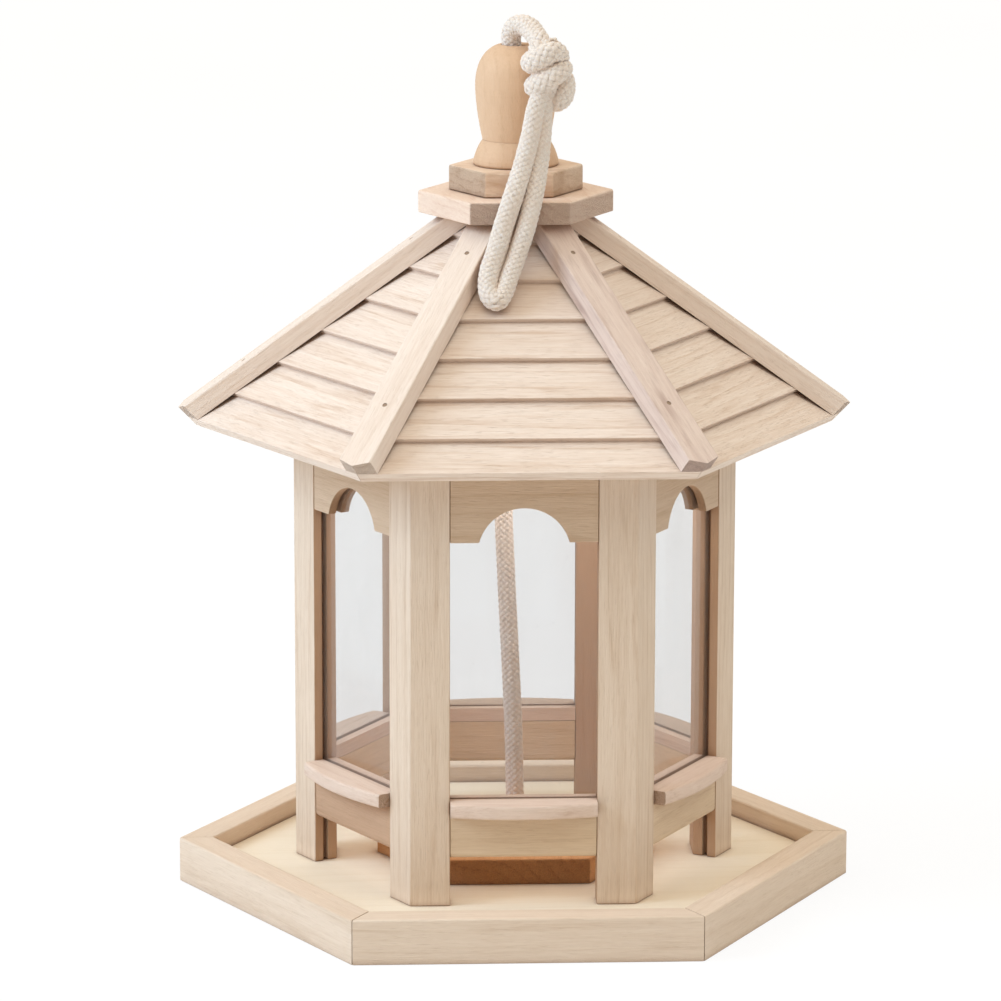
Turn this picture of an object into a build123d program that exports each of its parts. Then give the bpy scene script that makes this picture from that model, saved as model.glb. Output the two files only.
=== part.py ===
"""Hexagonal hanging bird feeder, one STEP file per separate piece, in millimetres.

Frame: +Z up, origin at the centre of the underside of the base, one flat side of the hexagon facing -Y.
Each repeated piece is made once, at the front side or the right-hand (+X) corner, and turned to six places.
"""

import os
from math import atan, cos, degrees, radians, sin, sqrt, tan

from build123d import *

SIDES = ["front", "front_right", "rear_right", "rear", "rear_left", "front_left"]
CORNERS = ["right", "rear_right", "rear_left", "left", "front_left", "front_right"]
SIXTH_TURN = 60
HALF_STEP = radians(SIXTH_TURN / 2)
CORNER_TO_FLAT = cos(HALF_STEP)
PROUD_CUT = 1.0

# Base tray: six mitred rim rails round a plywood floor that rests on a ledge of the rails.
BASE_CORNER_RADIUS = 105.0
RIM_HEIGHT = 14.0
RIM_WIDTH = 9.5
RIM_LEDGE_HEIGHT = 3.0
RIM_LEDGE_WIDTH = 4.0
RIM_EASING = 0.7
MITRE_GAP = 0.1
FLOOR_UNDERSIDE = 3.05
FLOOR_TOP = 8.5
FLOOR_GAP = 0.35

# Body: six corner posts carrying the aprons, the seats, the arched boards and the panes.
BODY_CORNER_RADIUS = 68.5
POST_FACE = 12.0
POST_DEPTH = 7.8
POST_EASING = 0.8
BOARD_RECESS = 0.2
BOARD_DEPTH = 7.4
BOARD_END_GAP = 0.05
PANE_INSET = 3.0
PANE_THICKNESS = 1.2
PANE_BOTTOM = 39.95
PANE_TOP = 135.4
PANE_END_GAP = 0.3
GROOVE_WIDTH = 1.6
GROOVE_DEPTH = 2.5

APRON_BOTTOM = 23.4
APRON_TOP = 36.8
APRON_ROUND = 1.5
SEAT_BOTTOM = 36.9
SEAT_TOP = 41.2
SEAT_END_OVERHANG = 3.8
SEAT_BOW = 2.8
SEAT_EASING = 0.8
SEAT_GROOVE_DEPTH = 1.3
ARCH_BOARD_BOTTOM = 121.0
ARCH_HALF_WIDTH = 13.5
ARCH_RISE = 10.5
KERF_TOP = 136.0

# Roof: panels milled with overlapping courses, hip ribs, two cap plates and a turned finial.
ROOF_SLOPE = radians(40)
EAVE_APOTHEM = 85.0
EAVE_HEIGHT = 145.6
PANEL_THICK = 3.5
PANEL_THIN = 1.8
BOTTOM_COURSE = 12.9
COURSE = 15.2
COURSES_ABOVE = 6
ROOF_CLEARANCE = 0.1
RIB_WIDTH = 10.5
RIB_SIDE_HEIGHT = 6.0
RIB_INNER_RADIUS = 14.0
RIB_EASING = 0.5
RIB_BEDDING = 0.05

BRAD_RADIUS = 0.7
BRAD_LENGTH = 7.0
BRAD_SINK = 0.15
BRAD_CLEARANCE = 0.05
BRAD_SETBACKS = [24.2, 88.0]

LOWER_CAP_BOTTOM = 211.5
LOWER_CAP_TOP = 218.4
LOWER_CAP_RADIUS = 30.0
UPPER_CAP_BOTTOM = 218.5
UPPER_CAP_TOP = 226.2
UPPER_CAP_RADIUS = 20.6
CAP_EASING = 0.8
FINIAL_FOOT = 226.3
FINIAL_FOOT_RADIUS = 12.9
FINIAL_WAIST_RADIUS = 10.05
FINIAL_BULB_RADIUS = 12.45
FINIAL_CROWN_RADIUS = 6.0
FINIAL_TOP = 263.8
ROPE_BORE_RADIUS = 3.8

# Cotton rope and the block it is anchored under.
ROPE_RADIUS = 2.65
BLOCK_CORNER_RADIUS = 43.0
BLOCK_TOP = 16.5
BLOCK_EASING = 0.5
KNOT_POCKET_RADIUS = 8.0
KNOT_POCKET_TOP = 13.4
STOPPER_RADIUS = 6.0
STOPPER_WRAP_RADIUS = 4.4
STOPPER_WRAP_THICKNESS = 2.3
DROP_TOP = 254.0
NECK_BOTTOM = 254.6
NECK_TOP = 265.0
SWING_HEIGHT = 268.0
KNOT_CENTRE = (9.6, -18.2, 255.8)
KNOT_TILT = (8, 10, 0)


def body_apothem():
    return BODY_CORNER_RADIUS * CORNER_TO_FLAT


def opening_half_width():
    """Half the clear width between the outer faces of two neighbouring posts."""
    return BODY_CORNER_RADIUS / 2 - POST_FACE


def body_top():
    """Top of the posts and arched boards, just under the roof panels that rest on them."""
    rise = (EAVE_APOTHEM - body_apothem()) * tan(ROOF_SLOPE)
    return EAVE_HEIGHT + rise - ROOF_CLEARANCE


def hip_angle():
    return atan(tan(ROOF_SLOPE) * CORNER_TO_FLAT)


def slope_point(along, lift):
    """(distance out from the axis, height) of a point up the roof slope and off its underside."""
    out = EAVE_APOTHEM - along * cos(ROOF_SLOPE) + lift * sin(ROOF_SLOPE)
    up = EAVE_HEIGHT + along * sin(ROOF_SLOPE) + lift * cos(ROOF_SLOPE)
    return out, up


def rib_top_lift():
    """How far the flat top of a rib stands off the line where two roof planes meet."""
    angle = hip_angle()
    lean = sin(angle) * sin(ROOF_SLOPE) * CORNER_TO_FLAT + cos(angle) * cos(ROOF_SLOPE)
    fall = sqrt(1 - lean**2) / lean
    return RIB_SIDE_HEIGHT - RIB_WIDTH / 2 * fall


def block_between(x0, x1, y0, y1, z0, z1):
    return Pos(x0, y0, z0) * Box(x1 - x0, y1 - y0, z1 - z0, align=(Align.MIN, Align.MIN, Align.MIN))


def cylinder_between(radius, bottom, top):
    return Pos(0, 0, bottom) * Cylinder(radius, top - bottom, align=(Align.CENTER, Align.CENTER, Align.MIN))


def hexagon(corner_radius, bottom, top):
    """Upright hexagonal prism with corners on +X and -X."""
    return Pos(0, 0, bottom) * extrude(RegularPolygon(corner_radius, 6), top - bottom)


def front_bar(profile, half_length):
    """Bar along the front side from a (distance out, height) profile."""
    outline = Polyline(*[(-half_length, -out, up) for out, up in profile], close=True)
    return extrude(make_face(outline), 2 * half_length, dir=(1, 0, 0))


def front_board(inset, depth, bottom, top, half_length):
    """Upright board across the front side, so far behind the post faces."""
    outer = body_apothem() - inset
    return block_between(-half_length, half_length, -outer, depth - outer, bottom, top)


def pane_slot(bottom, top):
    """Room for the front pane, cut into whatever holds its edges."""
    return front_board(PANE_INSET, GROOVE_WIDTH, bottom, top, opening_half_width() + GROOVE_DEPTH)


def front_sector(reach, bottom, top):
    """The sixth of space belonging to the front side, less half a mitre gap at each end."""
    apex = (MITRE_GAP / 2) / sin(HALF_STEP)
    half_width = (reach - apex) * tan(HALF_STEP)
    outline = Polyline((0, -apex), (half_width, -reach), (-half_width, -reach), close=True)
    return Pos(0, 0, bottom) * extrude(make_face(outline), top - bottom)


def rope(points, start, end):
    """Round cord along a smooth curve with the given end directions."""
    path = Spline(*points, tangents=(start, end))
    section = Plane(origin=path @ 0, z_dir=path % 0) * Circle(ROPE_RADIUS)
    return sweep(section, path=path)


def make_rim_rail():
    outer = BASE_CORNER_RADIUS * CORNER_TO_FLAT
    inner = outer - RIM_WIDTH
    ledge = inner - RIM_LEDGE_WIDTH
    profile = [
        (outer, 0),
        (outer, RIM_HEIGHT),
        (inner, RIM_HEIGHT),
        (inner, RIM_LEDGE_HEIGHT),
        (ledge, RIM_LEDGE_HEIGHT),
        (ledge, 0),
    ]
    rail = front_bar(profile, BASE_CORNER_RADIUS)
    rail = fillet(rail.edges().filter_by(Axis.X).group_by(Axis.Z)[-1], RIM_EASING)
    return rail & front_sector(BASE_CORNER_RADIUS, -PROUD_CUT, RIM_HEIGHT + PROUD_CUT)


def make_floor_panel():
    apothem = BASE_CORNER_RADIUS * CORNER_TO_FLAT - RIM_WIDTH - FLOOR_GAP
    panel = hexagon(apothem / CORNER_TO_FLAT, FLOOR_UNDERSIDE, FLOOR_TOP)
    return panel - cylinder_between(KNOT_POCKET_RADIUS, 0, FLOOR_TOP + PROUD_CUT)


def make_anchor_block():
    block = hexagon(BLOCK_CORNER_RADIUS, FLOOR_TOP, BLOCK_TOP)
    block = chamfer(block.edges().group_by(Axis.Z)[-1], BLOCK_EASING)
    block -= cylinder_between(ROPE_BORE_RADIUS, FLOOR_TOP, BLOCK_TOP + PROUD_CUT)
    return block - cylinder_between(KNOT_POCKET_RADIUS, FLOOR_TOP - PROUD_CUT, KNOT_POCKET_TOP)


def make_post():
    """Right-hand corner post: two outer faces at 120 degrees, each reveal grooved for a pane."""
    corner = Vector(BODY_CORNER_RADIUS, 0)
    outline = [corner]
    for side, order in ((-1, 1), (1, -1)):
        face_end = corner + Vector(-sin(HALF_STEP), side * CORNER_TO_FLAT) * POST_FACE
        reveal_end = face_end + Vector(-CORNER_TO_FLAT, -side * sin(HALF_STEP)) * POST_DEPTH
        outline += [face_end, reveal_end][::order]
    section = make_face(Polyline(*outline, close=True))
    post = Pos(0, 0, FLOOR_TOP) * extrude(section, body_top() - FLOOR_TOP)
    post = fillet(post.edges().filter_by(Axis.Z).sort_by(Axis.X)[-1], POST_EASING)
    slot = pane_slot(FLOOR_TOP - PROUD_CUT, body_top() + PROUD_CUT)
    return post - slot.rotate(Axis.Z, SIXTH_TURN) - slot.rotate(Axis.Z, 2 * SIXTH_TURN)


def make_apron():
    half_length = opening_half_width() - BOARD_END_GAP
    apron = front_board(BOARD_RECESS, BOARD_DEPTH, APRON_BOTTOM, APRON_TOP, half_length)
    return fillet(apron.edges().filter_by(Axis.X).group_by(Axis.Z)[0], APRON_ROUND)


def make_seat():
    """Perch across one side, its outer edge slightly bowed, grooved along the top for the pane."""
    half_length = opening_half_width() - BOARD_END_GAP
    inner = body_apothem() - BOARD_RECESS - BOARD_DEPTH
    edge = body_apothem() + SEAT_END_OVERHANG
    ends = Polyline(
        (-half_length, -edge),
        (-half_length, -inner),
        (half_length, -inner),
        (half_length, -edge),
    )
    bow = ThreePointArc((half_length, -edge), (0, -edge - SEAT_BOW), (-half_length, -edge))
    seat = Pos(0, 0, SEAT_BOTTOM) * extrude(make_face([ends, bow]), SEAT_TOP - SEAT_BOTTOM)
    seat = fillet(seat.edges().filter_by(GeomType.CIRCLE), SEAT_EASING)
    return seat - pane_slot(SEAT_TOP - SEAT_GROOVE_DEPTH, SEAT_TOP + PROUD_CUT)


def make_arch_board():
    half_length = opening_half_width() - BOARD_END_GAP
    board = front_board(BOARD_RECESS, BOARD_DEPTH, ARCH_BOARD_BOTTOM, body_top(), half_length)
    radius = (ARCH_HALF_WIDTH**2 + ARCH_RISE**2) / (2 * ARCH_RISE)
    centre = ARCH_BOARD_BOTTOM + ARCH_RISE - radius
    board -= Pos(0, -body_apothem(), centre) * Rot(90, 0, 0) * Cylinder(radius, 3 * BOARD_DEPTH)
    return board - pane_slot(ARCH_BOARD_BOTTOM - PROUD_CUT, KERF_TOP)


def make_pane():
    play = (GROOVE_WIDTH - PANE_THICKNESS) / 2
    half_width = opening_half_width() + GROOVE_DEPTH - PANE_END_GAP
    return front_board(PANE_INSET + play, PANE_THICKNESS, PANE_BOTTOM, PANE_TOP, half_width)


def brad_solids(radius, bottom, top):
    """Two pins square to the top of each rib, in corner order, at the given depths from that top."""
    angle = hip_angle()
    out, up = slope_point(0, PANEL_THICK)
    rise = rib_top_lift()
    pins = []
    for setback in BRAD_SETBACKS:
        radial = out / CORNER_TO_FLAT - setback * cos(angle) + rise * sin(angle)
        height = up + setback * sin(angle) + rise * cos(angle)
        pins.append(Pos(radial, 0, height) * Rot(0, degrees(angle), 0) * cylinder_between(radius, bottom, top))
    return [pin.rotate(Axis.Z, SIXTH_TURN * k) for k in range(6) for pin in pins]


def brad_holes():
    depth = BRAD_SINK + BRAD_LENGTH + BRAD_CLEARANCE
    return brad_solids(BRAD_RADIUS + BRAD_CLEARANCE, -depth, PROUD_CUT)


def make_roof_panel():
    """Front roof panel milled with overlapping courses, mitred at both hips, cut flat under the cap."""
    profile = [slope_point(0, 0), slope_point(0, PANEL_THICK)]
    for course in range(COURSES_ABOVE):
        butt = BOTTOM_COURSE + course * COURSE
        profile += [slope_point(butt, PANEL_THIN), slope_point(butt, PANEL_THICK)]
    top = BOTTOM_COURSE + COURSES_ABOVE * COURSE
    profile += [slope_point(top, PANEL_THIN), slope_point(top, 0)]
    panel = front_bar(profile, EAVE_APOTHEM)
    panel = panel & front_sector(2 * EAVE_APOTHEM, 0, LOWER_CAP_BOTTOM - ROOF_CLEARANCE)
    for hole in brad_holes()[-4:]:
        panel -= hole
    return panel


def crest_pyramid():
    """Everything under the six planes that pass through the crests of the courses."""
    reach = 2 * EAVE_APOTHEM
    out, up = slope_point(0, PANEL_THICK)
    apex = up + out * tan(ROOF_SLOPE) + RIB_BEDDING
    foot = apex - reach * tan(ROOF_SLOPE)
    outline = Polyline((-reach, foot), (reach, foot), (0, apex), close=True)
    gable = extrude(Plane.YZ * make_face(outline), reach, both=True)
    return gable & gable.rotate(Axis.Z, SIXTH_TURN) & gable.rotate(Axis.Z, 2 * SIXTH_TURN)


def make_roof_rib():
    """Right-hand hip rib: notched over the two panels below it, its foot cut flush with both eaves."""
    out, up = slope_point(0, PANEL_THICK)
    bar = Box(3 * out, RIB_WIDTH, 3 * RIB_SIDE_HEIGHT, align=(Align.CENTER, Align.CENTER, Align.MAX))
    bar = fillet(bar.edges().filter_by(Axis.X).group_by(Axis.Z)[-1], RIB_EASING)
    rib = Pos(out / CORNER_TO_FLAT, 0, up) * Rot(0, degrees(hip_angle()), 0) * Pos(0, 0, rib_top_lift()) * bar
    for turn in (-SIXTH_TURN / 2, SIXTH_TURN / 2):
        foot = Vector(EAVE_APOTHEM, 0, EAVE_HEIGHT).rotate(Axis.Z, turn)
        outward = Vector(cos(ROOF_SLOPE), 0, -sin(ROOF_SLOPE)).rotate(Axis.Z, turn)
        rib = split(rib, bisect_by=Plane(origin=foot, z_dir=outward), keep=Keep.BOTTOM)
    rib -= crest_pyramid()
    under_cap = LOWER_CAP_BOTTOM - ROOF_CLEARANCE
    rib = rib & block_between(RIB_INNER_RADIUS, 2 * EAVE_APOTHEM, -RIB_WIDTH, RIB_WIDTH, 0, under_cap)
    for hole in brad_holes()[:2]:
        rib -= hole
    return rib


def make_cap(corner_radius, bottom, top):
    cap = hexagon(corner_radius, bottom, top)
    cap = fillet(cap.edges().group_by(Axis.Z)[-1], CAP_EASING)
    return cap - cylinder_between(ROPE_BORE_RADIUS, bottom - PROUD_CUT, top + PROUD_CUT)


def make_finial():
    """Turned bulb on a rounded, flared foot, bored through for the rope."""
    foot_edge = FINIAL_FOOT + 1.8
    waist = FINIAL_FOOT + 7.7
    flare = Spline(
        (FINIAL_FOOT_RADIUS, foot_edge),
        (FINIAL_FOOT_RADIUS - 0.5, foot_edge + 2.3),
        (FINIAL_WAIST_RADIUS + 1.15, waist - 1.7),
        (FINIAL_WAIST_RADIUS, waist),
    )
    bulb = Spline(
        (FINIAL_WAIST_RADIUS, waist),
        (FINIAL_BULB_RADIUS - 1.25, waist + 5.2),
        (FINIAL_BULB_RADIUS - 0.35, waist + 10.6),
        (FINIAL_BULB_RADIUS, waist + 16.8),
        (FINIAL_BULB_RADIUS - 0.45, waist + 21.6),
        (FINIAL_BULB_RADIUS - 2.1, waist + 25.6),
        (FINIAL_BULB_RADIUS - 4.3, waist + 28.4),
        (FINIAL_CROWN_RADIUS, FINIAL_TOP),
    )
    inside = Polyline(
        (FINIAL_CROWN_RADIUS, FINIAL_TOP),
        (ROPE_BORE_RADIUS, FINIAL_TOP),
        (ROPE_BORE_RADIUS, FINIAL_FOOT),
        (FINIAL_FOOT_RADIUS, FINIAL_FOOT),
        (FINIAL_FOOT_RADIUS, foot_edge),
    )
    return revolve(Plane.XZ * make_face([flare, bulb, inside]), Axis.Z)


def make_stopper_knot():
    """Knot drawn up into the pocket of the anchor block, clear of whatever the base stands on."""
    centre = KNOT_POCKET_TOP - STOPPER_RADIUS - 0.1
    wrap = Rot(14, 9, 0) * Torus(STOPPER_WRAP_RADIUS, STOPPER_WRAP_THICKNESS)
    return Pos(0, 0, centre) * (Sphere(STOPPER_RADIUS) + Pos(0, 0, -0.6) * wrap)


def make_rope_drop():
    """Rope through the seed chamber, hanging a little slack from the finial to the anchor block."""
    points = [
        (0, 0, KNOT_POCKET_TOP + 0.1),
        (-0.3, 0, 22.0),
        (-1.6, 0, 45.0),
        (-3.0, 0.3, 85.0),
        (-3.8, 0, 128.0),
        (-2.6, 0, 175.0),
        (-0.5, 0, 208.0),
        (0, 0, 222.0),
        (0, 0, DROP_TOP),
    ]
    return rope(points, (0, 0, 1), (0, 0, 1))


def make_rope_neck():
    return cylinder_between(ROPE_RADIUS, NECK_BOTTOM, NECK_TOP)


def make_loop_knot():
    """Overhand knot draped beside the finial, with the bend of rope that leads to it."""
    girth = Spline(
        (2.4, 9.4),
        (5.2, 8.4),
        (7.0, 6.0),
        (6.5, 3.2),
        (7.5, 0),
        (6.5, -3.2),
        (6.9, -6.0),
        (5.0, -8.4),
        (2.4, -9.4),
    )
    core = Polyline((2.4, -9.4), (0, -9.4), (0, 9.4), (2.4, 9.4))
    lump = revolve(Plane.XZ * make_face([girth, core]), Axis.Z)
    lump = Pos(*KNOT_CENTRE) * Rot(*KNOT_TILT) * lump
    path = ThreePointArc((0, 0, SWING_HEIGHT), (4.4, -8.2, 269.6), (9.3, -17.6, 262.0))
    bend = sweep(Plane(origin=path @ 0, z_dir=path % 0) * Circle(ROPE_RADIUS), path=path)
    return lump + bend + Pos(0, 0, SWING_HEIGHT) * Sphere(ROPE_RADIUS)


def make_rope_loop():
    """Hanging loop, draped down the front of the caps and resting on the roof."""
    strands = [
        (10.6, -19.6, 242.6),
        (9.2, -22.6, 230.0),
        (5.7, -30.0, 216.5),
        (2.4, -34.2, 205.0),
        (-1.9, -39.0, 195.6),
        (-5.4, -42.2, 190.2),
        (-8.6, -39.6, 195.8),
        (-3.5, -34.0, 206.5),
        (0.2, -30.6, 217.5),
        (3.6, -25.2, 230.0),
        (5.6, -22.2, 242.6),
    ]
    loop = rope(strands, (0, -0.1, -1), (0, 0.1, 1))
    return loop + Pos(*strands[0]) * Sphere(ROPE_RADIUS) + Pos(*strands[-1]) * Sphere(ROPE_RADIUS)


def turned(shape, stem, places):
    """Copies of a front or right-hand piece at all six places."""
    return {f"{stem}_{place}": shape.rotate(Axis.Z, SIXTH_TURN * k) for k, place in enumerate(places)}


def build():
    pieces = {
        "floor_panel": make_floor_panel(),
        "rope_anchor_block": make_anchor_block(),
        "lower_cap_plate": make_cap(LOWER_CAP_RADIUS, LOWER_CAP_BOTTOM, LOWER_CAP_TOP),
        "upper_cap_plate": make_cap(UPPER_CAP_RADIUS, UPPER_CAP_BOTTOM, UPPER_CAP_TOP),
        "finial": make_finial(),
        "rib_brads": Compound(children=brad_solids(BRAD_RADIUS, -BRAD_SINK - BRAD_LENGTH, -BRAD_SINK)),
        "rope_stopper_knot": make_stopper_knot(),
        "rope_drop": make_rope_drop(),
        "rope_neck": make_rope_neck(),
        "rope_loop_knot": make_loop_knot(),
        "rope_loop": make_rope_loop(),
    }
    pieces.update(turned(make_rim_rail(), "rim_rail", SIDES))
    pieces.update(turned(make_apron(), "apron", SIDES))
    pieces.update(turned(make_seat(), "seat", SIDES))
    pieces.update(turned(make_pane(), "pane", SIDES))
    pieces.update(turned(make_arch_board(), "arch_board", SIDES))
    pieces.update(turned(make_roof_panel(), "roof_panel", SIDES))
    pieces.update(turned(make_post(), "post", CORNERS))
    pieces.update(turned(make_roof_rib(), "roof_rib", CORNERS))
    return pieces


if __name__ == "__main__":
    os.makedirs("parts", exist_ok=True)
    for name, shape in build().items():
        export_step(shape, f"parts/{name}.step")
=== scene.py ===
"""Looks of the hexagonal hanging bird feeder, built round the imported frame, in metres."""

import math
import random

import bpy
import numpy as np
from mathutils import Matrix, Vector


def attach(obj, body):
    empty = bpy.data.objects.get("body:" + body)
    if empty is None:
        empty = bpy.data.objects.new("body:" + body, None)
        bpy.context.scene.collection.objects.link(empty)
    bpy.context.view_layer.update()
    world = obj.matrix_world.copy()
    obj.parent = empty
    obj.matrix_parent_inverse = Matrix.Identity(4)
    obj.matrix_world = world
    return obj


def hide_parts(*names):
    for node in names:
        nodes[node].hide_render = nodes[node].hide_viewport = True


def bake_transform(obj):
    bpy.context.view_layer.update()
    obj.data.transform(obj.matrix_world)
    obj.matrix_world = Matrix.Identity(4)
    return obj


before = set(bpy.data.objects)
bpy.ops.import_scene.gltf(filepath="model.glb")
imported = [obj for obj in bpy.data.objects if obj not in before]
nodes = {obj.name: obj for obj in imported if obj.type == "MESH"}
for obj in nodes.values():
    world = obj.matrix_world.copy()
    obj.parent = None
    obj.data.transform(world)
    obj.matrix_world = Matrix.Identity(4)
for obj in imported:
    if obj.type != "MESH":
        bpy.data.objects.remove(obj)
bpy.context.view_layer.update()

MM = 0.001
PER_METRE = 1000.0
UP = Vector((0, 0, 1))
SIDES = ["front", "front_right", "rear_right", "rear", "rear_left", "front_left"]
CORNERS = ["right", "rear_right", "rear_left", "left", "front_left", "front_right"]
# In degrees about the axis of the feeder: the front side faces -Y, the right corner +X.
FRONT_TURN = -90
TURN_BETWEEN_SIDES = 60
ROOF_SLOPE = math.radians(40)
HIP_ANGLE = math.radians(36)


# ---------------------------------------------------------------- material tools


class Shader:
    """A material's node tree, written as calls that each add nodes and return an output socket."""

    def __init__(self, name, tree=None):
        self.tree = tree
        if tree is None:
            self.material = bpy.data.materials.new(name)
            self.material.use_nodes = True
            self.tree = self.material.node_tree
            self.tree.nodes.clear()

    def add(self, kind, inputs, output=0, **settings):
        node = self.tree.nodes.new(kind)
        for key, value in settings.items():
            setattr(node, key, value)
        for key, value in inputs.items():
            if isinstance(value, bpy.types.NodeSocket):
                self.tree.links.new(value, node.inputs[key])
            else:
                node.inputs[key].default_value = value
        return node.outputs[output]

    def object_place(self):
        return self.add("ShaderNodeTexCoord", {}, "Object")

    def scaled(self, vector, factor):
        return self.add("ShaderNodeVectorMath", {0: vector, "Scale": factor}, operation="SCALE")

    def math(self, operation, a, b=0.0, clamp=False):
        return self.add("ShaderNodeMath", {0: a, 1: b}, operation=operation, use_clamp=clamp)

    def plus(self, a, b, clamp=False):
        return self.math("ADD", a, b, clamp)

    def times(self, a, b):
        return self.math("MULTIPLY", a, b)

    def dot(self, vector, direction):
        inputs = {0: vector, 1: direction}
        return self.add("ShaderNodeVectorMath", inputs, "Value", operation="DOT_PRODUCT")

    def combine(self, x, y, z):
        return self.add("ShaderNodeCombineXYZ", {0: x, 1: y, 2: z})

    def noise(self, vector, detail=2.0, roughness=0.5):
        inputs = {"Vector": vector, "Scale": 1.0, "Detail": detail, "Roughness": roughness}
        return self.add("ShaderNodeTexNoise", inputs)

    def stretched_noise(self, local, across, along, detail=2.0, roughness=0.5):
        """Noise drawn out along the third axis; across and along are its scales per unit of place."""
        scales = (across, across, along)
        stretched = self.add("ShaderNodeVectorMath", {0: local, 1: scales}, operation="MULTIPLY")
        return self.noise(stretched, detail, roughness)

    def remap(self, value, low, high, to_low=0.0, to_high=1.0):
        """Smooth step from to_low, where the value is low, to to_high, where it is high."""
        inputs = {"Value": value, "From Min": low, "From Max": high, "To Min": to_low, "To Max": to_high}
        return self.add("ShaderNodeMapRange", inputs, interpolation_type="SMOOTHSTEP")

    def ramp(self, value, stops):
        """Grey level that follows (place, level) stops."""
        node = self.tree.nodes.new("ShaderNodeValToRGB")
        self.tree.links.new(value, node.inputs[0])
        points = node.color_ramp.elements
        while len(points) < len(stops):
            points.new(0.5)
        for point, (place, level) in zip(points, stops):
            point.position = place
            point.color = (level, level, level, 1)
        return node.outputs[0]

    def mix(self, factor, a, b):
        return self.add("ShaderNodeMix", {0: factor, 6: a, 7: b}, 2, data_type="RGBA", blend_type="MIX")

    def mix_shaders(self, factor, a, b):
        return self.add("ShaderNodeMixShader", {0: factor, 1: a, 2: b})

    def bump(self, height, distance, strength=1.0):
        inputs = {"Height": height, "Distance": distance, "Strength": strength}
        return self.add("ShaderNodeBump", inputs)

    def finish(self, surface):
        output = self.tree.nodes.new("ShaderNodeOutputMaterial")
        self.tree.links.new(surface, output.inputs["Surface"])
        return self.material


def linear(level):
    """Linear light of one 0-255 display value."""
    share = level / 255
    return ((share + 0.055) / 1.055) ** 2.4 if level > 10 else share / 12.92


def colour(red, green, blue):
    """Opaque linear colour from 0-255 display values."""
    return linear(red), linear(green), linear(blue), 1.0


def unit(vector):
    return Vector(vector).normalized()


# ---------------------------------------------------------------- wood

# Each wood has its light early growth, its darker late growth and the deep tone of pores and rough ends.
PALE = dict(light=(235, 215, 194), dark=(212, 185, 158), deep=(178, 143, 110))
ROOF = dict(light=(244, 228, 214), dark=(223, 198, 177), deep=(186, 150, 121))
# The arch boards' tones are darker: painted shade under the roof's eave.
EAVE_SHADED_ARCH = dict(light=(219, 193, 166), dark=(198, 167, 135), deep=(166, 129, 94))
YELLOWED = dict(light=(231, 207, 177), dark=(208, 178, 144), deep=(174, 137, 100))
CREAM = dict(light=(250, 237, 216), dark=(242, 226, 199), deep=(222, 199, 166))
WARM = dict(light=(228, 192, 157), dark=(208, 167, 129), deep=(172, 126, 88))
TORN = dict(light=(244, 221, 198), dark=(226, 193, 162), deep=(180, 132, 90))
PINK = dict(light=(236, 216, 202), dark=(202, 172, 157), deep=(150, 112, 100))
BROWN = dict(light=(232, 176, 122), dark=(210, 150, 100), deep=(160, 104, 64))
END_PINK = dict(light=(244, 221, 201), dark=(228, 194, 170), deep=(198, 152, 126))
SEAT_TONES = dict(light=(235, 213, 196), dark=(214, 184, 162), deep=(160, 116, 82))
# Darker tones for the front-left apron: painted shade under the seat's overhang.
SHADED_APRON_TONES = dict(light=(208, 172, 142), dark=(184, 148, 118), deep=(146, 106, 76))
# Painted shade: the brown of the faces that turn inward.
INWARD_SHADE_BROWN = (184, 142, 106)
# Painted shade: the brown that inner corners and narrow gaps are darkened towards.
CORNER_SHADE_BROWN = (146, 104, 72)

# How far, in mm, each board's figure and its pith are shifted at random.
SHIFT_RANGE = 300
PITH_SCATTER = 6
# Painted shade in inner corners and narrow gaps: how far it reaches and how strong it is.
CORNER_SHADE_REACH = 3.5 * MM
CORNER_SHADE_STRENGTH = 0.65
# Painted shade on faces that turn inward: how strong it is.
INWARD_SHADE_STRENGTH = 0.8
WOOD_BUMP = 0.2 * MM


def board_place(s, dice, grain, across):
    """Place in mm along the board's own axes: (u across, v through the thickness, the shifted whole)."""
    place = s.scaled(s.object_place(), PER_METRE)
    shift = [dice.uniform(-SHIFT_RANGE, SHIFT_RANGE) for _ in range(3)]
    u = s.dot(place, across)
    v = s.dot(place, grain.cross(across))
    g = s.plus(s.dot(place, grain), shift[2])
    return u, v, s.combine(s.plus(u, shift[0]), s.plus(v, shift[1]), g)


def late_growth(s, dice, u, v, local, ring, pith):
    """Dark share of wavering growth rings round a pith that lies off the board, at either side."""
    wander = s.remap(s.stretched_noise(local, 0.05, 0.006), 0.2, 0.8, -3.0, 3.0)
    ripple = s.remap(s.stretched_noise(local, 0.4, 0.015), 0.2, 0.8, -0.5, 0.5)
    pith_side = dice.choice((-1, 1))
    from_pith_u = s.plus(u, pith[0] * pith_side + dice.uniform(-PITH_SCATTER, PITH_SCATTER))
    from_pith_v = s.plus(v, pith[1] + dice.uniform(-PITH_SCATTER, PITH_SCATTER))
    squared = s.plus(s.times(from_pith_u, from_pith_u), s.times(from_pith_v, from_pith_v))
    radius = s.plus(s.plus(s.math("SQRT", squared), wander), ripple)
    year = s.math("FRACT", s.math("DIVIDE", radius, ring))
    late = s.ramp(year, [(0.0, 0.7), (0.08, 0.05), (0.5, 0.1), (0.82, 0.4), (0.95, 1.0), (1.0, 0.7)])
    faint = s.remap(s.stretched_noise(local, 0.5, 0.01, 1.0), 0.35, 0.65, 0.25, 1.0)
    return s.times(late, faint)


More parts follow.
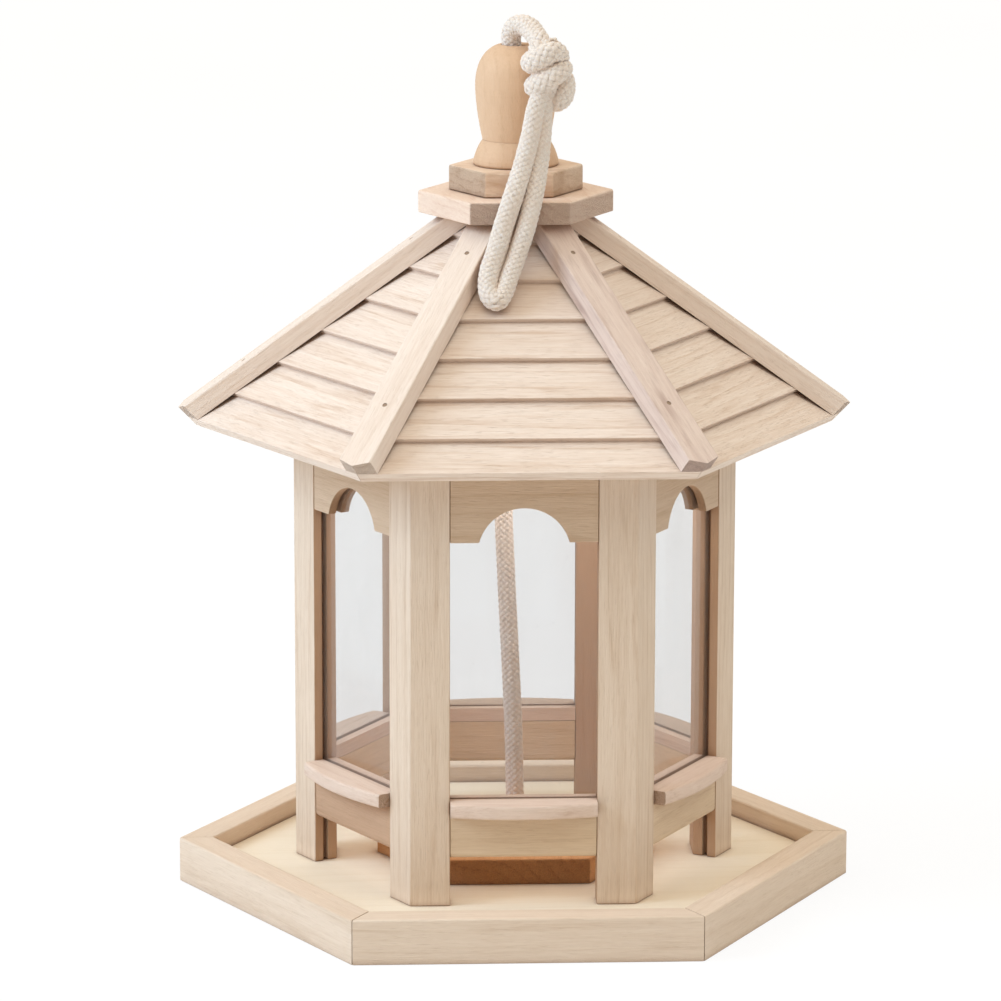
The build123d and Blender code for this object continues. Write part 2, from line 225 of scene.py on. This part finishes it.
def wood(
    name,
    grain,
    across,
    tones=PALE,
    ring=2.4,
    pith=(38.0, 30.0),
    ring_strength=0.34,
    streak=0.45,
    end_dark=0.6,
    end_rough=1.0,
    pores=0.5,
    roughness=0.62,
    shade_away_from=None,
    blotch=0.0,
):
    """Solid wood: growth rings round an off-centre pith, fibre streaks, pores and darker, rougher ends.

    Faces that look away from the given outward direction are browned, as painted shade on the faces that
    turn inward.
    Inner corners and narrow gaps are darkened brown as painted shade. Ring widths and the pith's place are
    in mm.
    """
    dice = random.Random(name)
    grain, across = unit(grain), unit(across)
    light, dark, deep = (colour(*tones[key]) for key in ("light", "dark", "deep"))
    s = Shader(name)
    u, v, local = board_place(s, dice, grain, across)
    late = late_growth(s, dice, u, v, local, ring, pith)

    fibre = s.remap(s.stretched_noise(local, 2.7, 0.11, 3.0, 0.65), 0.32, 0.7)
    line = s.remap(s.stretched_noise(local, 1.3, 0.045, 3.0, 0.6), 0.4, 0.72)
    band = s.remap(s.stretched_noise(local, 0.3, 0.012, 3.0, 0.6), 0.32, 0.7)
    patch = s.remap(s.stretched_noise(local, 0.06, 0.012), 0.3, 0.72)
    pore = s.remap(s.stretched_noise(local, 3.6, 0.25, 1.0), 0.6, 0.74)

    tone = s.times(late, ring_strength)
    tone = s.plus(tone, s.times(fibre, 0.42 * streak))
    tone = s.plus(tone, s.times(line, 0.5 * streak))
    tone = s.plus(tone, s.times(band, 0.3 * streak))
    tone = s.plus(tone, s.times(patch, 0.14), clamp=True)
    face = s.mix(tone, light, dark)
    face = s.mix(s.times(s.times(fibre, late), 0.5 * ring_strength + 0.08), face, deep)
    face = s.mix(s.times(pore, 0.3 * pores), face, deep)
    if blotch:
        stain = s.remap(s.stretched_noise(local, 0.12, 0.02, 3.0, 0.6), 0.5, 0.7)
        face = s.mix(s.times(stain, blotch), face, deep)

    normal = s.add("ShaderNodeNewGeometry", {}, "True Normal")
    end = s.remap(s.math("ABSOLUTE", s.dot(normal, grain)), 0.42, 0.85)
    torn = s.remap(s.noise(s.scaled(local, 2.2), 3.0, 0.65), 0.35, 0.7)
    end_tone = s.mix(s.plus(s.times(late, 0.5), s.times(torn, 0.5)), dark, deep)
    skin = s.mix(s.times(end, end_dark), face, end_tone)
    # Painted shade: faces that turn away from the outside are browned.
    if shade_away_from is not None:
        inward_share = s.remap(s.dot(normal, unit(shade_away_from)), 0.3, 0.6, 1.0, 0.0)
        inward_shade = s.mix(s.times(torn, 0.5), colour(*INWARD_SHADE_BROWN), deep)
        skin = s.mix(s.times(inward_share, INWARD_SHADE_STRENGTH), skin, inward_shade)

    # Painted shade: inner corners and narrow gaps are darkened brown, the more the more enclosed they are.
    open_share = s.add("ShaderNodeAmbientOcclusion", {"Distance": CORNER_SHADE_REACH}, "AO", samples=6)
    corner_shade = s.times(s.remap(open_share, 0.25, 0.8, 1.0, 0.0), CORNER_SHADE_STRENGTH)
    skin = s.mix(corner_shade, skin, colour(*CORNER_SHADE_BROWN))

    height = s.times(pore, -0.5 * pores)
    height = s.plus(height, s.times(fibre, 0.3))
    height = s.plus(height, s.times(late, 0.15))
    height = s.plus(height, s.times(s.times(end, torn), 1.6 * end_rough))
    dullness = s.plus(s.times(fibre, 0.1), roughness)
    dullness = s.plus(dullness, s.times(end, 0.15))
    surface = s.add(
        "ShaderNodeBsdfPrincipled",
        {
            "Base Color": skin,
            "Roughness": dullness,
            "Specular IOR Level": 0.3,
            "Sheen Weight": 0.05,
            "Sheen Roughness": 0.5,
            "Normal": s.bump(height, WOOD_BUMP),
        },
    )
    return s.finish(surface)


# ---------------------------------------------------------------- acrylic, cotton and steel

ACRYLIC_TINT = (0.945, 0.946, 0.948, 1)
ACRYLIC_HAZE = (0.8, 0.82, 0.83, 1)
ACRYLIC_IOR = 1.49
LEAST_HAZE = 0.012


def clear_sheet(name):
    """Clear acrylic: see-through with a faint grey haze, dust specks, rubbed streaks and reflections."""
    dice = random.Random(name)
    s = Shader(name)
    shift = tuple(dice.uniform(-1, 1) for _ in range(3))
    place = s.add("ShaderNodeVectorMath", {0: s.object_place(), 1: shift}, operation="ADD")
    mm = s.scaled(place, PER_METRE)
    smear = s.remap(s.stretched_noise(mm, 0.05, 0.018, 3.0), 0.42, 0.75)
    dust = s.remap(s.noise(s.scaled(mm, 0.9), 1.0), 0.74, 0.8)
    haze = s.plus(s.times(smear, 0.03), s.times(dust, 0.12))
    haze = s.plus(haze, LEAST_HAZE)
    see_through = s.add("ShaderNodeBsdfTransparent", {"Color": ACRYLIC_TINT})
    milky = s.add("ShaderNodeBsdfDiffuse", {"Color": ACRYLIC_HAZE})
    gloss = s.add("ShaderNodeBsdfGlossy", {"Roughness": s.plus(s.times(smear, 0.08), 0.04)})
    fresnel = s.add("ShaderNodeFresnel", {"IOR": ACRYLIC_IOR})
    outside = s.math("SUBTRACT", 1.0, s.add("ShaderNodeNewGeometry", {}, "Backfacing"))
    body = s.mix_shaders(haze, see_through, milky)
    return s.finish(s.mix_shaders(s.times(fresnel, outside), body, gloss))


def cotton(name):
    """Natural cotton: soft sheen, a little light let through, patchy tint and fluffy fibre bump."""
    s = Shader(name)
    mm = s.scaled(s.object_place(), PER_METRE)
    fluff = s.noise(s.scaled(mm, 3.2), 4.0, 0.7)
    patch = s.remap(s.noise(s.scaled(mm, 0.22)), 0.3, 0.7)
    light = s.mix(patch, colour(255, 246, 237), colour(251, 235, 222))
    tint = s.mix(s.remap(fluff, 0.35, 0.68), colour(238, 216, 197), light)
    surface = s.add(
        "ShaderNodeBsdfPrincipled",
        {
            "Base Color": tint,
            "Roughness": s.remap(fluff, 0.2, 0.8, 0.8, 0.98),
            "Specular IOR Level": 0.1,
            "Subsurface Weight": 0.3,
            "Subsurface Radius": (1.0, 0.85, 0.7),
            "Subsurface Scale": 1.2 * MM,
            "Sheen Weight": 0.5,
            "Sheen Roughness": 0.4,
            "Normal": s.bump(fluff, 0.25 * MM, 0.7),
        },
    )
    return s.finish(surface)


def brad_steel(name):
    """Dull, slightly rusted ends of headless brads."""
    s = Shader(name)
    spot = s.noise(s.scaled(s.object_place(), 2.6 * PER_METRE), 3.0, 0.6)
    surface = s.add(
        "ShaderNodeBsdfPrincipled",
        {
            "Base Color": s.mix(s.remap(spot, 0.35, 0.65), colour(138, 118, 100), colour(172, 146, 122)),
            "Metallic": 0.3,
            "Roughness": s.remap(spot, 0.3, 0.7, 0.45, 0.75),
            "Normal": s.bump(spot, 0.1 * MM),
        },
    )
    return s.finish(surface)


# ---------------------------------------------------------------- the CAD's boards, posts, panes and brads

WELD_DISTANCE = 1e-6
FLAT_ANGLE = math.radians(0.3)
SHARP_ANGLE = math.radians(40)


def dress(node, material):
    mesh = nodes[node].data
    mesh.materials.clear()
    mesh.materials.append(material)


def ease_edges(node, width, segments=2):
    """Rounds the sharp edges of a CAD node a little, as sanding does, once its flat faces are whole."""
    weld = nodes[node].modifiers.new("weld", "WELD")
    weld.merge_threshold = WELD_DISTANCE
    flat = nodes[node].modifiers.new("flat", "DECIMATE")
    flat.decimate_type = "DISSOLVE"
    flat.angle_limit = FLAT_ANGLE
    bevel = nodes[node].modifiers.new("ease", "BEVEL")
    bevel.width = width
    bevel.segments = segments
    bevel.limit_method = "ANGLE"
    bevel.angle_limit = SHARP_ANGLE
    bevel.harden_normals = True
    bevel.use_clamp_overlap = True


def level_axes(degrees):
    """(outward, along) level unit vectors at an angle about the axis of the feeder."""
    angle = math.radians(degrees)
    return Vector((math.cos(angle), math.sin(angle), 0)), Vector((-math.sin(angle), math.cos(angle), 0))


def dress_side(side, outward, along):
    """Materials and eased edges of the pieces that stand at one side of the hexagon."""
    up_slope = UP * math.sin(ROOF_SLOPE) - outward * math.cos(ROOF_SLOPE)
    # The front-left apron gets darker tones as painted shade under its seat.
    apron_tones = SHADED_APRON_TONES if side == "front_left" else YELLOWED
    dress(
        f"rim_rail_{side}",
        wood(f"wood_rim_{side}", along, UP, PALE, 4.5, ring_strength=0.22, streak=0.34),
    )
    dress(
        f"apron_{side}",
        wood(f"wood_apron_{side}", along, UP, apron_tones, 3.0, ring_strength=0.25, streak=0.4),
    )
    dress(
        f"seat_{side}",
        wood(f"wood_seat_{side}", along, outward, SEAT_TONES, 4.0, ring_strength=0.25, end_dark=0.9),
    )
    dress(
        f"arch_board_{side}",
        wood(
            f"wood_arch_{side}",
            along,
            UP,
            EAVE_SHADED_ARCH,
            5.0,
            ring_strength=0.3,
            streak=0.5,
            shade_away_from=outward,
        ),
    )
    dress(
        f"roof_panel_{side}",
        wood(
            f"wood_panel_{side}",
            along,
            up_slope,
            ROOF,
            2.2,
            (60, 22),
            ring_strength=0.42,
            streak=0.6,
            pores=0.7,
        ),
    )
    dress(f"pane_{side}", clear_sheet(f"acrylic_{side}"))
    for stem in ("rim_rail", "apron", "seat", "arch_board", "roof_panel"):
        ease_edges(f"{stem}_{side}", 0.3 * MM)


def dress_corner(corner, radial, along):
    """Materials and eased edges of the post and the rib at one corner of the hexagon."""
    up_hip = UP * math.sin(HIP_ANGLE) - radial * math.cos(HIP_ANGLE)
    rib_tones, rib_blotch = (PINK, 0.6) if corner == "front_right" else (ROOF, 0.0)
    dress(
        f"post_{corner}",
        wood(f"wood_post_{corner}", UP, along, PALE, 3.0, streak=0.5, shade_away_from=radial),
    )
    dress(
        f"roof_rib_{corner}",
        wood(
            f"wood_rib_{corner}",
            up_hip,
            along,
            rib_tones,
            3.4,
            ring_strength=0.22,
            streak=0.4,
            blotch=rib_blotch,
        ),
    )
    ease_edges(f"post_{corner}", 0.35 * MM)
    ease_edges(f"roof_rib_{corner}", 0.8 * MM, 3)


for index, side in enumerate(SIDES):
    dress_side(side, *level_axes(FRONT_TURN + TURN_BETWEEN_SIDES * index))

for index, corner in enumerate(CORNERS):
    dress_corner(corner, *level_axes(TURN_BETWEEN_SIDES * index))

dress(
    "floor_panel",
    wood("wood_floor", (1, 0.05, 0), UP, CREAM, 6.0, streak=0.25, ring_strength=0.15, pores=0.25),
)
dress("rope_anchor_block", wood("wood_block", (0.1, 1, 0), UP, BROWN, 4.0, end_rough=1.3))
dress(
    "lower_cap_plate",
    wood(
        "wood_lower_cap",
        (-0.25, 1, 0.1),
        (1, 0.2, 0.5),
        END_PINK,
        3.0,
        (46, 40),
        end_dark=0.55,
        end_rough=1.6,
    ),
)
dress(
    "upper_cap_plate",
    wood(
        "wood_upper_cap",
        (1, 0.3, 0.0),
        (0, 0.3, 1),
        TORN,
        3.6,
        (30, 20),
        ring_strength=0.4,
        end_dark=0.4,
        blotch=0.45,
    ),
)
dress("rib_brads", brad_steel("dull_steel"))
ease_edges("floor_panel", 0.2 * MM)
ease_edges("rope_anchor_block", 0.3 * MM)
ease_edges("lower_cap_plate", 0.5 * MM, 3)
ease_edges("upper_cap_plate", 0.5 * MM, 3)


# ---------------------------------------------------------------- mesh tools


def mesh_object(name, vertices, faces, material):
    """Smooth-shaded object from vertices in metres."""
    mesh = bpy.data.meshes.new(name)
    mesh.from_pydata(vertices, [], faces)
    mesh.materials.append(material)
    mesh.polygons.foreach_set("use_smooth", [True] * len(mesh.polygons))
    mesh.update()
    thing = bpy.data.objects.new(name, mesh)
    bpy.context.scene.collection.objects.link(thing)
    return thing


def catmull_rom(points, steps=24):
    """Smooth curve through the points, as an array of positions."""
    p = np.array(points, float)
    p = np.vstack([2 * p[0] - p[1], p, 2 * p[-1] - p[-2]])
    curve = []
    for i in range(1, len(p) - 2):
        a, b, c, d = p[i - 1 : i + 3]
        for t in np.linspace(0, 1, steps, endpoint=False):
            square = (2 * a - 5 * b + 4 * c - d) * t**2
            cube = (3 * b - a - 3 * c + d) * t**3
            curve.append(0.5 * (2 * b + (c - a) * t + square + cube))
    curve.append(p[-2])
    return np.array(curve)


def resample(curve, spacing):
    """The same curve at even spacing, with the distance of each sample along it."""
    lengths = np.linalg.norm(np.diff(curve, axis=0), axis=1)
    reach = np.concatenate([[0], np.cumsum(lengths)])
    count = max(2, int(round(reach[-1] / spacing)) + 1)
    wanted = np.linspace(0, reach[-1], count)
    return np.stack([np.interp(wanted, reach, curve[:, k]) for k in range(3)], axis=1), wanted


def unit_rows(vectors):
    return vectors / np.linalg.norm(vectors, axis=1, keepdims=True)


def cross_axes(path):
    """Two unit vectors square to the path at each sample, turning as little as possible along it."""
    tangents = unit_rows(np.gradient(path, axis=0))
    start = np.array([1.0, 0, 0]) if abs(tangents[0][0]) < 0.8 else np.array([0, 1.0, 0])
    normals = np.zeros_like(path)
    current = start - tangents[0] * (start @ tangents[0])
    for i, tangent in enumerate(tangents):
        current = current - tangent * (current @ tangent)
        current /= np.linalg.norm(current)
        normals[i] = current
    return normals, np.cross(tangents, normals)


def tube_mesh(centres, axis_a, axis_b, half_a, half_b, sides):
    """Closed tube of elliptical section round a line of centres."""
    count = len(centres)
    turn = np.linspace(0, 2 * math.pi, sides, endpoint=False)
    along_a = np.cos(turn)[None, :, None] * np.reshape(half_a, (-1, 1, 1))
    along_b = np.sin(turn)[None, :, None] * np.reshape(half_b, (-1, 1, 1))
    ring = axis_a[:, None, :] * along_a + axis_b[:, None, :] * along_b
    vertices = (centres[:, None, :] + ring).reshape(-1, 3)
    faces = []
    for i in range(count - 1):
        for j in range(sides):
            following = (j + 1) % sides
            a = i * sides
            faces.append((a + j, a + following, a + sides + following, a + sides + j))
    faces.append(tuple(range(sides - 1, -1, -1)))
    faces.append(tuple(range((count - 1) * sides, count * sides)))
    return vertices, faces


def gather(parts):
    """One vertex list and one face list from several."""
    vertices, faces, offset = [], [], 0
    for part_vertices, part_faces in parts:
        vertices.append(part_vertices)
        faces += [tuple(offset + i for i in face) for face in part_faces]
        offset += len(part_vertices)
    return np.vstack(vertices), faces


def stand_for(node):
    """Hides the CAD node that a piece built here stands in for."""
    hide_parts(node)


# ---------------------------------------------------------------- turned finial

TURN_SEGMENTS = 96
RINGS_PER_STEP = 10
# The bore's radius and the outline's (radius, height) points, in mm: a flared foot, then a domed body.
FINIAL_BORE = 3.8
FINIAL_FOOT = [
    (12.8, 226.3),
    (13.0, 226.6),
    (12.95, 227.6),
    (12.5, 229.3),
    (11.9, 230.9),
    (11.1, 232.5),
    (10.2, 233.9),
]
FINIAL_BODY = [
    (10.05, 234.1),
    (10.3, 234.3),
    (10.75, 236.4),
    (11.35, 239.6),
    (12.0, 244.0),
    (12.4, 248.4),
    (12.45, 251.6),
    (12.0, 255.0),
    (11.0, 257.9),
    (9.5, 260.2),
    (7.7, 261.8),
    (6.0, 262.7),
    (4.8, 262.9),
    (4.1, 262.6),
    (3.8, 262.0),
]


def tool_marks(heights):
    """Faint ridges in mm that a lathe tool leaves up the work."""
    return 0.018 * np.sin(heights * 5.1) + 0.012 * np.sin(heights * 11.3 + 1.0)


def turned(name, profile, bore, material):
    """Solid of revolution about Z, bored through, from runs of (radius, height) points in mm."""
    outline = np.vstack([catmull_rom([(r, 0, z) for r, z in run], RINGS_PER_STEP) for run in profile])
    heights = outline[:, 2]
    radii = np.concatenate([[bore], outline[:, 0] + tool_marks(heights), [bore]])
    heights = np.concatenate([[heights[0]], heights, [heights[-1]]])
    turn = np.linspace(0, 2 * math.pi, TURN_SEGMENTS, endpoint=False)
    vertices = []
    for r, z in zip(radii, heights):
        vertices += [(r * math.cos(angle) * MM, r * math.sin(angle) * MM, z * MM) for angle in turn]
    faces = []
    count = len(radii)
    for i in range(count):
        for j in range(TURN_SEGMENTS):
            a, b = i * TURN_SEGMENTS, ((i + 1) % count) * TURN_SEGMENTS
            following = (j + 1) % TURN_SEGMENTS
            faces.append((a + j, a + following, b + following, b + j))
    return mesh_object(name, vertices, faces, material)


finial_wood = wood(
    "wood_finial",
    (0, 0.05, 1),
    (1, 0, 0),
    WARM,
    3.2,
    (30, 24),
    ring_strength=0.14,
    streak=0.22,
    end_dark=0.0,
    end_rough=0.2,
    pores=0.2,
    roughness=0.48,
)
finial = turned("turned_finial", [FINIAL_FOOT, FINIAL_BODY], FINIAL_BORE, finial_wood)
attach(finial, "roof")
stand_for("finial")


# ---------------------------------------------------------------- braided rope

# Lengths in mm, for a cord of swell 1, which is 5.3 mm thick. Each set of strands has this many carriers.
CARRIERS = 8
BRAID_PITCH = 15.0
STRAND_RADIUS_AT = 2.0
STRAND_WEAVE = 0.2
STRAND_HALF_WIDTH = 0.72
STRAND_HALF_THICK = 0.45
STRAND_SIDES = 6
CORE_RADIUS = 1.75
CORE_SIDES = 10
# How far each strand strays at random: round the cord, in radians, and in its size, as a share.
STRAND_WOBBLE = 0.04
STRAND_PLUMPNESS = 0.06
BRAID_SEED = "0"


def braid(name, points, swell=((0, 1), (1, 1)), spacing=0.42):
    """Braided cord along the points (in mm): two sets of strands that cross over and under each other.

    The swell is the cord's thickness at shares of its length, as (share, thickness) pairs.
    """
    path, reach = resample(catmull_rom(points), spacing)
    normals, binormals = cross_axes(path)
    dice = random.Random(name + BRAID_SEED)
    scale = np.interp(reach / reach[-1], *zip(*swell))
    core = CORE_RADIUS * scale
    parts = [tube_mesh(path, normals, binormals, core, core, CORE_SIDES)]
    for direction in (1, -1):
        for carrier in range(CARRIERS):
            wobble = dice.uniform(-STRAND_WOBBLE, STRAND_WOBBLE)
            turns = carrier / CARRIERS + direction * reach / BRAID_PITCH
            angle = 2 * math.pi * turns + wobble
            crossing = np.cos(2 * math.pi * CARRIERS * reach / BRAID_PITCH)
            radial = normals * np.cos(angle)[:, None] + binormals * np.sin(angle)[:, None]
            lift = (STRAND_RADIUS_AT + STRAND_WEAVE * direction * crossing) * scale
            centres = path + radial * lift[:, None]
            run = unit_rows(np.gradient(centres, axis=0))
            beside = unit_rows(np.cross(run, radial))
            plump = 1 + dice.uniform(-STRAND_PLUMPNESS, STRAND_PLUMPNESS)
            half_width = STRAND_HALF_WIDTH * plump * scale
            half_thick = STRAND_HALF_THICK * plump * scale
            parts.append(tube_mesh(centres, beside, radial, half_width, half_thick, STRAND_SIDES))
    vertices, faces = gather(parts)
    return mesh_object(name, vertices * MM, faces, rope_cotton)


# The loop knot's two turns: steps to a turn, where the first starts in radians, and sizes in mm.
BAND_SLANT = math.radians(32)
BAND_STEPS = 12
BAND_START = 0.5
BAND_LEAD = 0.6
UPPER_BAND = np.array([7.4, -18.0, 262.0])
LOWER_BAND = np.array([9.0, -18.4, 255.2])
BAND_HALF_LENGTH = 4.5
BAND_GROWTH = 0.6
BAND_HALF_DEPTH = 3.6


def knot_bands():
    """Two parallel slanting turns of the cord, the second drawn tight below the first."""
    slant = np.array([math.cos(BAND_SLANT), 0, math.sin(BAND_SLANT)])
    behind = np.array([0, 1.0, 0])
    points = []
    for step in range(2 * BAND_STEPS + 1):
        turn = 2 * math.pi * step / BAND_STEPS + BAND_START
        share = min(1, max(0, (step - BAND_STEPS) / (BAND_STEPS / 2) + BAND_LEAD))
        share = share * share * (3 - 2 * share)
        centre = UPPER_BAND * (1 - share) + LOWER_BAND * share
        half_length = BAND_HALF_LENGTH + BAND_GROWTH * share
        across = slant * half_length * math.cos(turn)
        points.append(tuple(centre + across + behind * BAND_HALF_DEPTH * math.sin(turn)))
    return points


# The drop hangs slack from the finial's bore to the block on the floor.
DROP_PATH = [
    (0, 0, 12.4),
    (0.2, 0, 22),
    (-0.2, 0, 45),
    (-1.3, 0.2, 70),
    (-2.8, 0.3, 100),
    (-3.8, 0, 128),
    (-3.4, 0, 165),
    (-1.2, 0, 203),
    (0, 0, 222),
    (0, 0, 254),
]
# The stopper knot is wound in the pocket under the block.
STOPPER_PATH = [
    (0, 0, 13.2),
    (0.4, 0, 9.6),
    (3.4, 1.4, 8.2),
    (2.2, 3.8, 7.4),
    (-1.8, 3.4, 6.8),
    (-3.8, 0.2, 6.4),
    (-1.8, -3.6, 6.8),
    (2.2, -3.6, 8.0),
    (3.2, 0.2, 6.2),
    (0.6, 1.0, 4.6),
    (-0.8, -0.6, 4.2),
]
# The neck leaves the top of the finial and bends over to the loop knot in front of it.
NECK_PATH = [
    (-0.4, 0, 250),
    (-0.8, 0, 256),
    (-1.2, 0, 261),
    (-1.5, -0.2, 264.4),
    (-1.4, -0.8, 266.9),
    (0.0, -2.2, 268.8),
    (2.2, -4.4, 269.2),
    (4.2, -7.4, 268.3),
    (5.5, -10.8, 266.6),
    (6.6, -13.8, 265.2),
    (7.4, -16.2, 262.4),
]
# The loop knot's last turn is tucked back under its two bands.
TUCK_PATH = [
    (9.6, -14.6, 259.0),
    (12.2, -14.8, 257.0),
    (13.8, -16.6, 254.2),
    (14.0, -18.2, 251.4),
    (13.0, -18.6, 248.8),
    (11.0, -17.6, 247.4),
    (9.0, -16.6, 248.6),
    (8.2, -16.4, 252.0),
]
# A thick cord fills the inside of the loop knot.
CORE_PATH = [
    (6.4, -15.6, 264.4),
    (6.9, -17.0, 261.6),
    (8.0, -18.0, 257.6),
    (8.2, -18.6, 253.4),
    (7.8, -19.6, 249.4),
]
# The loop runs down the front from the knot, round its lowest bend and back up into the knot.
LOOP_PATH = [
    (8.0, -18.6, 253.5),
    (7.6, -19.4, 249.5),
    (7.3, -20.2, 245.4),
    (6.9, -21.2, 238.5),
    (5.9, -23.8, 229.6),
    (4.2, -27.6, 221.1),
    (2.0, -30.4, 212.6),
    (-0.9, -32.8, 204.2),
    (-3.4, -36.0, 197.9),
    (-5.2, -39.0, 193.6),
    (-7.4, -41.6, 191.1),
    (-9.6, -40.4, 192.3),
    (-10.1, -37.8, 195.6),
    (-9.3, -35.2, 199.8),
    (-7.5, -33.2, 204.4),
    (-4.9, -31.0, 212.8),
    (-2.0, -29.6, 221.4),
    (0.9, -26.0, 229.8),
    (3.2, -24.0, 238.4),
    (4.6, -22.8, 245.6),
    (6.0, -21.4, 249.6),
    (7.0, -20.0, 253.0),
]
NECK_SWELL = [(0, 1.05), (0.4, 1.2), (0.6, 1.28), (0.8, 1.28), (1, 1.25)]
BAND_SWELL = [(0, 1.2), (0.3, 1.32), (0.5, 1.15), (0.8, 1.34), (1, 1.1)]
TUCK_SWELL = [(0, 1.05), (0.35, 1.2), (0.6, 1.2), (1, 1.0)]
CORE_SWELL = [(0, 1.4), (0.35, 1.95), (0.7, 1.75), (1, 1.1)]
LOOP_SWELL = [
    (0, 1.1),
    (0.25, 1.15),
    (0.45, 1.12),
    (0.52, 1.2),
    (0.62, 1.24),
    (0.78, 1.22),
    (0.9, 1.14),
    (1, 1.1),
]

rope_cotton = cotton("cotton")

drop = braid("cord_drop", DROP_PATH, [(0, 1.12), (1, 1.12)], spacing=0.5)
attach(drop, "base")
stand_for("rope_drop")

stopper = braid("stopper_knot", STOPPER_PATH)
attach(stopper, "base")
stand_for("rope_stopper_knot")

neck = braid("cord_neck", NECK_PATH, NECK_SWELL)
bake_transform(neck)
stand_for("rope_neck")

bands = braid("loop_knot_bands", knot_bands(), BAND_SWELL)
tuck = braid("loop_knot_tuck", TUCK_PATH, TUCK_SWELL)
knot_core = braid("loop_knot_core", CORE_PATH, CORE_SWELL)
for piece in (bands, tuck, knot_core):
    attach(piece, "loop_knot")
    stand_for("rope_loop_knot")

loop = braid("cord_loop", LOOP_PATH, LOOP_SWELL)
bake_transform(loop)
stand_for("rope_loop")


# ---------------------------------------------------------------- floor, light and camera

FLOOR_HALF_SIZE = 6.0
FLOOR_GLOW = 0.86
WHITE = (1, 1, 1, 1)
SKY_TOP = (1.3, 1.22, 1.07, 1)
SKY_HORIZON = (0.1, 0.08, 0.07, 1)
# Lamps, with places in metres and power in watts.
SOFTBOX_SIZE = 0.9
KEY = dict(place=(-1.5, -0.35, 1.0), aim=(0, 0, 0.12), power=20.0, tint=(0.56, 0.76, 1.0))
FILL = dict(place=(1.6, -0.2, 0.6), aim=(0, 0, 0.1), power=2.6, tint=(0.4, 0.7, 1.0))
CHAMBER_GLOW = dict(place=(0, 0, 0.138), size=0.09, power=0.055, tint=(1.0, 0.94, 0.88))
# Lens and sensor in mm, place in metres and turn in degrees.
CAMERA_LENS = 183.557
CAMERA_SENSOR = 36.0
CAMERA_PLACE = (-0.07420, -1.54211, 0.45785)
CAMERA_TURN = (77.694, -0.110, -2.564)


def grey(level):
    return level, level, level, 1


def floor_material():
    """White sweep with a faint contact shadow to the camera, pale paper to everything else."""
    s = Shader("studio_floor")
    mottle = s.noise(s.scaled(s.object_place(), 3.0))
    paper = s.add("ShaderNodeBsdfDiffuse", {"Color": s.mix(mottle, grey(0.84), grey(0.88))})
    sweep = s.add(
        "ShaderNodeBsdfPrincipled",
        {
            "Base Color": s.mix(mottle, grey(0.13), grey(0.15)),
            "Roughness": 1.0,
            "Specular IOR Level": 0.0,
            "Emission Color": WHITE,
            "Emission Strength": FLOOR_GLOW,
        },
    )
    camera_ray = s.add("ShaderNodeLightPath", {}, "Is Camera Ray")
    return s.finish(s.mix_shaders(camera_ray, paper, sweep))


def make_floor():
    half = FLOOR_HALF_SIZE
    corners = [(-half, -half, 0), (half, -half, 0), (half, half, 0), (-half, half, 0)]
    mesh_object("studio_floor_plane", corners, [(0, 1, 2, 3)], floor_material())


def make_sky():
    """Soft light that is strongest from above; the camera itself sees plain white."""
    world = bpy.data.worlds.new("studio")
    bpy.context.scene.world = world
    world.use_nodes = True
    s = Shader(None, world.node_tree)
    upward = s.dot(s.add("ShaderNodeTexCoord", {}, "Generated"), UP)
    tint = s.mix(s.remap(upward, 0.1, 0.8), SKY_HORIZON, SKY_TOP)
    lit = s.add("ShaderNodeBackground", {"Color": tint, "Strength": 1.0})
    seen = s.add("ShaderNodeBackground", {"Color": WHITE, "Strength": 1.0})
    chosen = s.mix_shaders(s.add("ShaderNodeLightPath", {}, "Is Camera Ray"), lit, seen)
    s.tree.links.new(chosen, s.tree.nodes["World Output"].inputs["Surface"])


def area_lamp(name, shape, size, place, power, tint):
    lamp = bpy.data.lights.new(name, "AREA")
    lamp.shape = shape
    lamp.size = size
    lamp.energy = power
    lamp.color = tint
    holder = bpy.data.objects.new(name, lamp)
    holder.location = place
    bpy.context.scene.collection.objects.link(holder)
    return holder


def softbox(name, place, aim, power, tint):
    holder = area_lamp(name, "SQUARE", SOFTBOX_SIZE, place, power, tint)
    holder.rotation_euler = (Vector(aim) - Vector(place)).to_track_quat("-Z", "Y").to_euler()


def make_camera():
    lens = bpy.data.cameras.new("camera")
    lens.lens = CAMERA_LENS
    lens.sensor_width = CAMERA_SENSOR
    camera = bpy.data.objects.new("camera", lens)
    camera.location = CAMERA_PLACE
    camera.rotation_euler = tuple(math.radians(turn) for turn in CAMERA_TURN)
    bpy.context.scene.collection.objects.link(camera)
    bpy.context.scene.camera = camera
    bpy.context.scene.view_settings.view_transform = "Standard"


make_floor()
make_sky()
softbox("key_left", **KEY)
softbox("fill_right", **FILL)
# Light that the clear panes and pale wood scatter about inside the body.
area_lamp("chamber_glow", "DISK", **CHAMBER_GLOW).visible_camera = False
make_camera()
